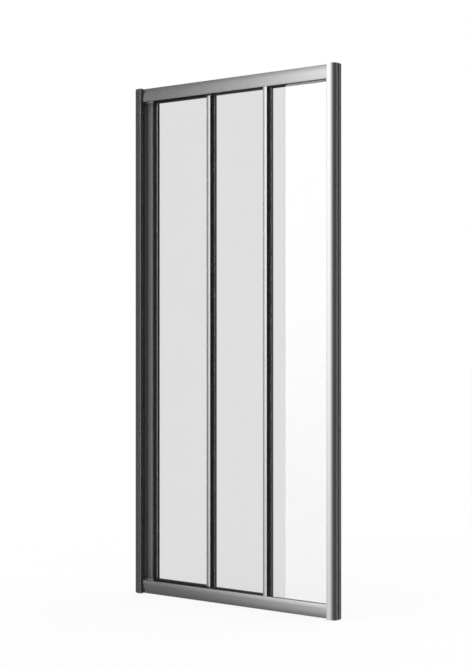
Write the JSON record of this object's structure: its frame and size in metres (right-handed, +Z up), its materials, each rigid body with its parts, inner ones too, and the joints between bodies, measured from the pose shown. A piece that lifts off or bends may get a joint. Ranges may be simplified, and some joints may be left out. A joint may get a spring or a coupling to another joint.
{
  "type": "sliding shower door",
  "caption": "Framed sliding shower door for a niche: a fixed pane, a middle panel and a leading door panel that slide behind it on rollers.",
  "frame": {"origin": "middle of the frame's underside", "axes": "+X along the door towards the fixed pane, +Y into the shower, +Z up"},
  "size_m": [0.885, 0.065, 1.9],
  "materials": {
    "polished_aluminium": "polished and anodised, softly reflecting",
    "satin_aluminium": "satin anodised",
    "clear_glass": "clear toughened safety glass",
    "black_rubber": "matte",
    "magnet_strip": "matte, flexible magnet in a sleeve",
    "brush_pile": "dense short pile",
    "pale_plastic": "moulded, fine grained",
    "grey_plastic": "moulded, fine grained",
    "stainless_steel": "bright stainless"
  },
  "bodies": {
    "frame": {"wall_channel_left": "satin_aluminium", "wall_channel_right": "satin_aluminium", "jamb_left": "polished_aluminium", "jamb_right": "polished_aluminium", "jamb_plugs": "grey_plastic", "top_rail": "polished_aluminium", "bottom_rail": "polished_aluminium", "rail_screws": "stainless_steel", "adjuster_screws": "stainless_steel", "adjuster_caps": "pale_plastic", "strike_profile": "polished_aluminium", "strike_magnet": "magnet_strip", "strike_end_blocks": "pale_plastic", "end_buffers": "black_rubber", "fixed_glass": "clear_glass", "fixed_gasket": "black_rubber", "fixed_stile": "polished_aluminium", "fixed_glazing_inserts": "grey_plastic"},
    "middle_panel": {"middle_glass": "clear_glass", "middle_gasket": "black_rubber", "middle_left_stile": "polished_aluminium", "middle_right_stile": "polished_aluminium", "middle_top_carrier": "satin_aluminium", "middle_bottom_carrier": "satin_aluminium", "middle_corner_screws": "stainless_steel", "middle_brush_seal": "brush_pile", "middle_hangers": "stainless_steel", "middle_hanger_screws": "stainless_steel", "middle_axles": "stainless_steel", "middle_catch": "grey_plastic", "middle_guide_housings": "grey_plastic", "middle_left_guide_spring": "stainless_steel", "middle_right_guide_spring": "stainless_steel"},
    "door_panel": {"door_glass": "clear_glass", "door_gasket": "black_rubber", "door_grip_stile": "polished_aluminium", "door_right_stile": "polished_aluminium", "door_top_carrier": "satin_aluminium", "door_bottom_carrier": "satin_aluminium", "door_corner_screws": "stainless_steel", "door_brush_seal": "brush_pile", "door_hangers": "stainless_steel", "door_hanger_screws": "stainless_steel", "door_axles": "stainless_steel", "door_catch": "grey_plastic", "door_guide_housings": "grey_plastic", "door_left_guide_spring": "stainless_steel", "door_right_guide_spring": "stainless_steel", "door_magnet": "magnet_strip"},
    "middle_left_wheel": {"middle_left_wheel": "pale_plastic"},
    "middle_right_wheel": {"middle_right_wheel": "pale_plastic"},
    "middle_left_guide_foot": {"middle_left_guide_foot": "pale_plastic"},
    "middle_right_guide_foot": {"middle_right_guide_foot": "pale_plastic"},
    "door_left_wheel": {"door_left_wheel": "pale_plastic"},
    "door_right_wheel": {"door_right_wheel": "pale_plastic"},
    "door_left_guide_foot": {"door_left_guide_foot": "pale_plastic"},
    "door_right_guide_foot": {"door_right_guide_foot": "pale_plastic"}
  },
  "joints": [
    {"name": "middle_slide", "type": "slide", "parent": "frame", "child": "middle_panel", "axis": [1, 0, 0], "range_m": [0, 0.2365]},
    {"name": "door_slide", "type": "slide", "parent": "middle_panel", "child": "door_panel", "axis": [1, 0, 0], "range_m": [0, 0.2337]},
    {"name": "middle_left_wheel_spin", "type": "hinge", "parent": "middle_panel", "child": "middle_left_wheel", "pos_m": [-0.0799, 0.00805, 1.879], "axis": [0, 1, 0], "continuous": true},
    {"name": "middle_right_wheel_spin", "type": "hinge", "parent": "middle_panel", "child": "middle_right_wheel", "pos_m": [0.1212, 0.00805, 1.879], "axis": [0, 1, 0], "continuous": true},
    {"name": "middle_left_guide_release", "type": "slide", "parent": "middle_panel", "child": "middle_left_guide_foot", "axis": [0, 0, 1], "range_m": [0, 0.007], "stiffness_N_per_m": 150, "springref_m": -0.004, "deforming": ["middle_left_guide_spring"]},
    {"name": "middle_right_guide_release", "type": "slide", "parent": "middle_panel", "child": "middle_right_guide_foot", "axis": [0, 0, 1], "range_m": [0, 0.007], "stiffness_N_per_m": 150, "springref_m": -0.004, "deforming": ["middle_right_guide_spring"]},
    {"name": "door_left_wheel_spin", "type": "hinge", "parent": "door_panel", "child": "door_left_wheel", "pos_m": [-0.34, 0.02505, 1.879], "axis": [0, 1, 0], "continuous": true},
    {"name": "door_right_wheel_spin", "type": "hinge", "parent": "door_panel", "child": "door_right_wheel", "pos_m": [-0.1389, 0.02505, 1.879], "axis": [0, 1, 0], "continuous": true},
    {"name": "door_left_guide_release", "type": "slide", "parent": "door_panel", "child": "door_left_guide_foot", "axis": [0, 0, 1], "range_m": [0, 0.007], "stiffness_N_per_m": 150, "springref_m": -0.004, "deforming": ["door_left_guide_spring"]},
    {"name": "door_right_guide_release", "type": "slide", "parent": "door_panel", "child": "door_right_guide_foot", "axis": [0, 0, 1], "range_m": [0, 0.007], "stiffness_N_per_m": 150, "springref_m": -0.004, "deforming": ["door_right_guide_spring"]}
  ],
  "couplings": [
    {"joint": "middle_left_wheel_spin", "follows": "middle_slide", "rad_per_m": 117.65},
    {"joint": "middle_right_wheel_spin", "follows": "middle_slide", "rad_per_m": 117.65},
    {"joint": "door_left_wheel_spin", "follows": "door_slide", "rad_per_m": 117.65},
    {"joint": "door_right_wheel_spin", "follows": "door_slide", "rad_per_m": 117.65}
  ]
}
